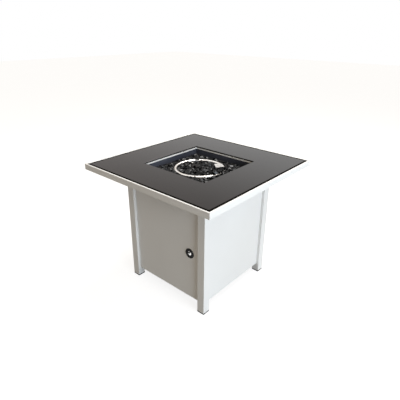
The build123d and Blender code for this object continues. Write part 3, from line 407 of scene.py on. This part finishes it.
# %% [markdown]
# ## The glass
# The top is toughened glass with a black back, so nothing shows through it. A clear shader over a black one
# could be used, but a nearly black gloss with the refraction of glass looks the same and renders faster.
# A narrow band all round its outer edge mirrors almost nothing, and shows as a dark line beside the
# rails. The CAD mesh stays as it is, so the band is found by its place: how far out it lies along X or Y,
# whichever is more.

# %% Glass
GLASS_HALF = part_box("glass_top")[1].x
# The width of the band along the glass's outer edge that mirrors almost nothing and shows dark.
DULL_BAND_WIDTH = 0.01
DULL_BAND_BLEND = 0.001
POLISHED_SHINE = 0.5
DULL_BAND_SHINE = 0.0


def dull_outer_band(material):
    """Take the mirror off a band along the glass's outer edge."""
    nodes, links = material.node_tree.nodes, material.node_tree.links
    place = nodes.new("ShaderNodeTexCoord")
    unsigned = nodes.new("ShaderNodeVectorMath")
    unsigned.operation = "ABSOLUTE"
    links.new(place.outputs["Object"], unsigned.inputs[0])
    sides = nodes.new("ShaderNodeSeparateXYZ")
    links.new(unsigned.outputs["Vector"], sides.inputs["Vector"])
    outward = nodes.new("ShaderNodeMath")
    outward.operation = "MAXIMUM"
    links.new(sides.outputs["X"], outward.inputs[0])
    links.new(sides.outputs["Y"], outward.inputs[1])
    shine = nodes.new("ShaderNodeMapRange")
    shine.inputs["From Min"].default_value = GLASS_HALF - DULL_BAND_WIDTH
    shine.inputs["From Max"].default_value = GLASS_HALF - DULL_BAND_WIDTH + DULL_BAND_BLEND
    shine.inputs["To Min"].default_value = POLISHED_SHINE
    shine.inputs["To Max"].default_value = DULL_BAND_SHINE
    links.new(outward.outputs["Value"], shine.inputs["Value"])
    links.new(shine.outputs["Result"], nodes["Principled BSDF"].inputs["Specular IOR Level"])


black_glass = finish("black_glass", (0.0065, 0.006, 0.0055), (0.009, 0.008, 0.0075), (0.14, 0.2), cloud=2.5,
                     grain=60.0, grain_depth=0.0, IOR=1.47)
dull_outer_band(black_glass)
print("dull outer band from", round(GLASS_HALF - DULL_BAND_WIDTH, 4), "to", round(GLASS_HALF, 4), "m")

# %% [markdown]
# ## The metals
# The ring and the hood are stainless steel. Brushing leaves fine lines, so their grain is stretched across
# the way that the brush went. The knob and the door pull are chrome, nearly a mirror. Most of the rest is out
# of sight until the door swings open: zinc on the screws, brass and cast aluminium at the valve, a drawn
# aluminium pipe, a copper lead and a plated iron elbow. One grey metal for all would be quicker, but these
# differ in colour, gloss and grain, and it is plain at a glance which is which.

# %% Steel, chrome and zinc
brushed_ring = finish("brushed_ring", (0.95, 0.89, 0.79), (0.98, 0.96, 0.93), (0.24, 0.36), cloud=11.0,
                      metallic=1.0, grain=420.0, grain_stretch=(1, 1, 6), grain_depth=0.00003)
stainless = finish("stainless", (0.78, 0.77, 0.74), (0.90, 0.89, 0.86), (0.25, 0.36), cloud=12.0,
                   stretch=(1, 8, 1), metallic=1.0, grain=700.0, grain_stretch=(0.1, 1, 1),
                   grain_depth=0.00003)
chrome = finish("chrome", (0.86, 0.86, 0.85), (0.90, 0.90, 0.89), (0.10, 0.18), cloud=20.0, metallic=1.0,
                grain=800.0, grain_depth=0.000005)
zinc_plate = finish("zinc_plate", (0.52, 0.54, 0.57), (0.68, 0.69, 0.70), (0.30, 0.48), cloud=80.0,
                    metallic=1.0, grain=900.0, grain_depth=0.00002)

# %% Valve, pipe and lead metals
brass = finish("brass", (0.70, 0.49, 0.20), (0.82, 0.61, 0.29), (0.22, 0.34), cloud=60.0, metallic=1.0,
               grain=900.0, grain_stretch=(1, 1, 5), grain_depth=0.00002)
copper = finish("copper", (0.62, 0.31, 0.19), (0.80, 0.44, 0.29), (0.28, 0.42), cloud=70.0, metallic=1.0,
                grain=900.0, grain_depth=0.00001)
drawn_aluminium = finish("drawn_aluminium", (0.66, 0.67, 0.68), (0.76, 0.77, 0.78), (0.28, 0.40), cloud=30.0,
                         metallic=1.0, grain=600.0, grain_stretch=(1, 1, 0.15), grain_depth=0.00003)
cast_aluminium = finish("cast_aluminium", (0.50, 0.51, 0.52), (0.62, 0.63, 0.64), (0.42, 0.58), cloud=40.0,
                        metallic=1.0, grain=650.0, grain_depth=0.00012)
plated_iron = finish("plated_iron", (0.30, 0.30, 0.31), (0.42, 0.42, 0.42), (0.40, 0.58), cloud=45.0,
                     metallic=1.0, grain=420.0, grain_depth=0.0002)

# %% [markdown]
# ## Plastics, rubber and ceramic
# The black ring round the knob and the foot caps are moulded plastic, which has a spark-eroded texture and
# little shine. Nylon lets a little light in, so it has some subsurface. Glazed ceramic is the smoothest of
# these, and the sintered magnet the roughest.

# %% Plastics, rubber and ceramic
moulded_black = finish("moulded_black", (0.002, 0.002, 0.002), (0.005, 0.005, 0.0045), (0.44, 0.56),
                       cloud=25.0, grain=1100.0, grain_depth=0.00003, Specular_IOR_Level=0.12)
nylon = finish("nylon", (0.80, 0.78, 0.71), (0.86, 0.84, 0.78), (0.42, 0.52), cloud=60.0, grain=900.0,
               grain_depth=0.00001, Subsurface_Weight=0.1)
silicone = finish("silicone", (0.62, 0.63, 0.64), (0.70, 0.71, 0.72), (0.5, 0.6), cloud=30.0, grain=700.0,
                  grain_depth=0.00002)
lead_rubber = finish("lead_rubber", (0.02, 0.02, 0.02), (0.04, 0.04, 0.04), (0.5, 0.62), cloud=50.0,
                     grain=900.0, grain_depth=0.00002)
ferrite = finish("ferrite", (0.05, 0.05, 0.052), (0.09, 0.09, 0.092), (0.5, 0.7), cloud=120.0, grain=1200.0,
                 grain_depth=0.00008)
ceramic_glaze = finish("ceramic_glaze", (0.82, 0.80, 0.74), (0.88, 0.86, 0.81), (0.12, 0.2), cloud=60.0,
                       grain=300.0, grain_depth=0.00002)

# %% [markdown]
# ## The rock's surface
# This lava rock is glassy where it broke and pitted where gas bubbled out. A matt black would lose the small
# bright facets that the photograph shows. So it is smooth and very dark, with pits in its grain: most faces
# stay black, and those that happen to face a lamp glint.

# %% Lava
lava = finish("lava", (0.0004, 0.0004, 0.0005), (0.003, 0.0031, 0.0035), (0.06, 0.22), cloud=70.0,
              detail=4.0, grain=420.0, grain_depth=0.0001, pits=0.6, Specular_IOR_Level=0.25)

# %% [markdown]
# ## Which piece has which finish
# The CAD pieces keep their shapes. Each one only gets its material, by name. The list could be read from the
# record's slots, but two slots hold pieces that look different close up: the ring from the hood, and the
# cast valve body from the drawn pipe. So it is written out.

# %% Assign
FINISHES = {
    powder_white: ["top_rail_front", "top_rail_right", "top_rail_back", "top_rail_left", "corner_braces",
                   "bearer_front", "bearer_back", "bearer_left", "bearer_right", "bearer_stubs",
                   "inner_frame", "leg_front_left", "leg_front_right", "leg_back_left", "leg_back_right",
                   "front_panel", "right_panel", "left_panel", "back_header", "back_sill", "back_door"],
    black_glass: ["glass_top"],
    pan_enamel: ["burner_pan"],
    brushed_ring: ["ring_burner"],
    stainless: ["pilot_hood", "thermocouple", "burner_posts", "electrode_tip"],
    chrome: ["control_knob", "door_pull"],
    zinc_plate: ["frame_screws", "leg_screws", "valve_screws", "door_pull_screw", "strike_plate",
                 "door_pivot_pins", "air_mixer", "burner_locknuts"],
    brass: ["valve_rotor", "valve_stem", "orifice_spud", "flare_nuts"],
    copper: ["thermocouple_lead"],
    drawn_aluminium: ["feed_pipe"],
    cast_aluminium: ["gas_valve_body"],
    plated_iron: ["burner_elbow"],
    moulded_black: ["control_bezel", "knob_pointer", "foot_caps", "catch_body", "pipe_clips"],
    nylon: ["door_bushes"],
    silicone: ["glass_pads"],
    lead_rubber: ["igniter_lead"],
    ferrite: ["catch_magnet"],
    ceramic_glaze: ["igniter_electrode"],
    lava: ["rock_bed", "rocks_in_ring", "rocks_round_ring", "cover_rocks"],
}

for material, names in FINISHES.items():
    for name in names:
        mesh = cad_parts[name].data
        mesh.materials.clear()
        mesh.materials.append(material)

undressed = set(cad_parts) - {name for names in FINISHES.values() for name in names}
print("nodes without a finish", sorted(undressed))

# %% [markdown]
# ## Lava rock
# The rock is what the eye lands on. A bumpy sheet would look like one from the side, and scattered spheres
# would look like beads. So it is a heap of broken chunks. A few kinds of chunk are made, each struck off a
# block with a few flat cuts and a little wear along its edges, and the heap uses them again and again,
# turned and scaled.

# %% Kinds of chunk
ROCK_KINDS = 14
ROCK_CUTS = 5
ROCK_WIDTHS = (0.76, 0.98)
ROCK_THICKNESSES = (0.62, 0.85)
ROCK_DEPTHS = (0.66, 0.84)
CUT_HEIGHTS = (0.2, 0.8)
CUT_TURNS = (-0.5, 0.5)
ROCK_WORN_EDGE = 0.014
GOLDEN_TURN = math.pi * (3 - math.sqrt(5))


def strike_off(chunk, normal, depth):
    """Cut a chunk at a share of its reach along a direction, and close the cut with a face."""
    reach = max(vert.co.dot(normal) for vert in chunk.verts)
    whole = chunk.verts[:] + chunk.edges[:] + chunk.faces[:]
    cut = bmesh.ops.bisect_plane(chunk, geom=whole, plane_co=normal * reach * depth, plane_no=normal,
                                 clear_outer=True)
    rim = [part for part in cut["geom_cut"] if isinstance(part, bmesh.types.BMEdge)]
    bmesh.ops.edgenet_fill(chunk, edges=rim)


def rock_kind(number):
    """A broken chunk with worn edges, one unit along its longest side, about its own middle."""
    dice = random.Random(number)
    chunk = bmesh.new()
    bmesh.ops.create_cube(chunk, size=1.0)
    bmesh.ops.scale(chunk, vec=(1.0, dice.uniform(*ROCK_WIDTHS), dice.uniform(*ROCK_THICKNESSES)),
                    verts=chunk.verts)
    for cut in range(ROCK_CUTS):
        height = 1 - 2 * (cut + dice.uniform(*CUT_HEIGHTS)) / ROCK_CUTS
        around = cut * GOLDEN_TURN + dice.uniform(*CUT_TURNS) + number
        level = math.sqrt(1 - height * height)
        normal = Vector((level * math.cos(around), level * math.sin(around), height))
        strike_off(chunk, normal, dice.uniform(*ROCK_DEPTHS))
    bmesh.ops.bevel(chunk, geom=chunk.edges[:], offset=ROCK_WORN_EDGE, offset_type="OFFSET", segments=1,
                    profile=0.5, affect="EDGES", clamp_overlap=True, material=-1)
    low = Vector([min(vert.co[axis] for vert in chunk.verts) for axis in range(3)])
    high = Vector([max(vert.co[axis] for vert in chunk.verts) for axis in range(3)])
    bmesh.ops.translate(chunk, vec=-(low + high) / 2, verts=chunk.verts)
    bmesh.ops.scale(chunk, vec=Vector((1, 1, 1)) / max(high - low), verts=chunk.verts)
    mesh = bpy.data.meshes.new("chunk_kind")
    chunk.to_mesh(mesh)
    chunk.free()
    return mesh


kinds = [rock_kind(number) for number in range(ROCK_KINDS)]
print("faces in a chunk", [len(kind.polygons) for kind in kinds])

# %% [markdown]
# ## How a chunk comes to rest
# A physics simulation could pour the chunks, but it is slow, and it would push some of them through the
# ring. Here each chunk counts as a ball. It is dropped at a random place and stops on the bed or on the balls
# that lie there already. The balls sink a little into the bed and into each other, because broken chunks
# nest closer than balls do.

# %% Rest
PACKING = 0.80
SINK = 0.55

bed_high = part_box("rock_bed")[1]


def rest_height(x, y, radius, heap):
    """The lowest place for a round chunk's middle, on the bed or on the chunks that lie there already."""
    height = bed_high.z + SINK * radius
    for other_x, other_y, other_z, other_radius in heap:
        reach = PACKING * (radius + other_radius)
        apart = (x - other_x) ** 2 + (y - other_y) ** 2
        if apart < reach * reach:
            height = max(height, other_z + math.sqrt(reach * reach - apart))
    return height


print("bed", round(2 * bed_high.x, 4), "m across, its top at", round(bed_high.z, 4), "m")

# %% [markdown]
# ## What a chunk keeps clear of
# The ring's tube has to show clean, and the flame needs the hood open, so no chunk of the heap touches the
# tube, the hood or the pan's walls. The hood is a box that is turned with its place on the ring.

# %% Clearances
RING_TUBE = 0.00635
ROCK_CLEAR_SHARE = 0.78
HOOD_CLEAR_SHARE = 0.6
HOOD_AZIMUTH = math.radians(49)
HOOD_FROM_MIDDLE = 0.0945
HOOD_HALF_DEPTH = 0.0195
HOOD_HALF_WIDTH = 0.025

ring_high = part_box("ring_burner")[1]
ring_radius = ring_high.x - RING_TUBE
ring_level = ring_high.z - RING_TUBE


def clear_of_fittings(x, y, z, radius):
    """Whether a chunk keeps off the ring's tube, the hood's box and the pan's walls."""
    to_tube = math.hypot(math.hypot(x, y) - ring_radius, z - ring_level)
    if to_tube < RING_TUBE + ROCK_CLEAR_SHARE * radius:
        return False
    margin = HOOD_CLEAR_SHARE * radius
    outwards = x * math.cos(HOOD_AZIMUTH) + y * math.sin(HOOD_AZIMUTH) - HOOD_FROM_MIDDLE
    across = y * math.cos(HOOD_AZIMUTH) - x * math.sin(HOOD_AZIMUTH)
    beside_hood = abs(outwards) > HOOD_HALF_DEPTH + margin or abs(across) > HOOD_HALF_WIDTH + margin
    inside_walls = max(abs(x), abs(y)) < bed_high.x - ROCK_CLEAR_SHARE * radius
    return beside_hood and inside_walls


print("ring radius", round(ring_radius, 4), "m at", round(ring_level, 4), "m")

# %% [markdown]
# ## Pouring the heap
# The photograph shows the rock level with the ring in the middle, and lower towards the walls. So the large
# chunks go in first and the small ones fill up between them, and a chunk that would stand too high for its
# place is left out. The seed is fixed, so the heap is the same at every run.

# %% The heap
HEAP_SEED = 11
ROCK_SIZES = (0.028, 0.024, 0.020, 0.016, 0.012)
SIZE_SPREAD = (0.9, 1.1)
TRIES_PER_SIZE = 1500
HEAP_ABOVE_RING = 0.0015
HEAP_AT_WALL = 0.006
HEAP_SLOPE = 0.36


def heap_top(x, y):
    """How high the heap may stand: just over the ring's tube, and sloping down towards the walls."""
    from_wall = bed_high.x - max(abs(x), abs(y))
    return min(ring_high.z + HEAP_ABOVE_RING, bed_high.z + HEAP_AT_WALL + HEAP_SLOPE * from_wall)


def pour_heap():
    """Chunk middles and radii, dropped one by one from the largest size to the smallest."""
    dice = random.Random(HEAP_SEED)
    heap = []
    for size in ROCK_SIZES:
        for _ in range(TRIES_PER_SIZE):
            radius = size / 2 * dice.uniform(*SIZE_SPREAD)
            x = dice.uniform(-1, 1) * bed_high.x
            y = dice.uniform(-1, 1) * bed_high.x
            if not clear_of_fittings(x, y, bed_high.z, radius):
                continue
            z = rest_height(x, y, radius, heap)
            if z + PACKING * radius < heap_top(x, y) and clear_of_fittings(x, y, z, radius):
                heap.append((x, y, z, radius))
    return heap


heap = pour_heap()
print("heap of", len(heap), "chunks")

# %% [markdown]
# ## Laying the chunks
# Each part of the heap becomes one piece, which takes the place of the CAD node that has its plain chunks.
# Linked copies would be lighter, but one mesh is easier to move, export and swap.

# %% Lay the heap
def lay_chunks(name, chunks, stands_for):
    """One piece of chunks, each a turned copy of one kind, for the CAD node that it stands for."""
    dice = random.Random(name)
    shape = bmesh.new()
    for x, y, z, radius in chunks:
        first = len(shape.verts)
        shape.from_mesh(dice.choice(kinds))
        turn = Matrix.Rotation(dice.uniform(0, math.tau), 4, Vector(
            (dice.gauss(0, 1), dice.gauss(0, 1), dice.gauss(0, 1))).normalized())
        bmesh.ops.transform(shape, matrix=Matrix.Translation((x, y, z)) @ turn @ Matrix.Scale(2 * radius, 4),
                            verts=shape.verts[first:])
    mesh = bpy.data.meshes.new(name)
    shape.to_mesh(mesh)
    shape.free()
    mesh.materials.append(lava)
    piece = bpy.data.objects.new(name, mesh)
    scene.collection.objects.link(piece)
    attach(piece, "base")
    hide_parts(stands_for)
    print(name, len(chunks), "chunks", len(mesh.polygons), "faces")


lay_chunks("lava_in_ring", [chunk for chunk in heap if math.hypot(chunk[0], chunk[1]) < ring_radius],
           "rocks_in_ring")
lay_chunks("lava_round_ring", [chunk for chunk in heap if math.hypot(chunk[0], chunk[1]) >= ring_radius],
           "rocks_round_ring")

# %% [markdown]
# ## Rock over the ring
# A few chunks lie on top of the ring's tube: four in a row at its right side, and one at the back left. They
# cut the bright ring in places that are plain to see, so they aren't left to chance: each is placed by its
# turn round the ring.

# %% Chunks on the tube
COVER_AZIMUTHS = (-11, 0, 10, 21, 137)
COVER_RADIUS = 0.0105
COVER_SPREAD = (0.85, 1.1)
COVER_SHIFT = (-0.3, 0.3)
COVER_LIFT = 0.8


def cover_chunks():
    """Chunks that straddle the ring's tube at chosen turns, in degrees from +X."""
    dice = random.Random(HEAP_SEED)
    chunks = []
    for azimuth in COVER_AZIMUTHS:
        turn = math.radians(azimuth)
        reach = ring_radius + dice.uniform(*COVER_SHIFT) * RING_TUBE
        chunks.append((reach * math.cos(turn), reach * math.sin(turn),
                       ring_high.z + COVER_LIFT * COVER_RADIUS, COVER_RADIUS * dice.uniform(*COVER_SPREAD)))
    return chunks


lay_chunks("lava_cover", cover_chunks(), "cover_rocks")
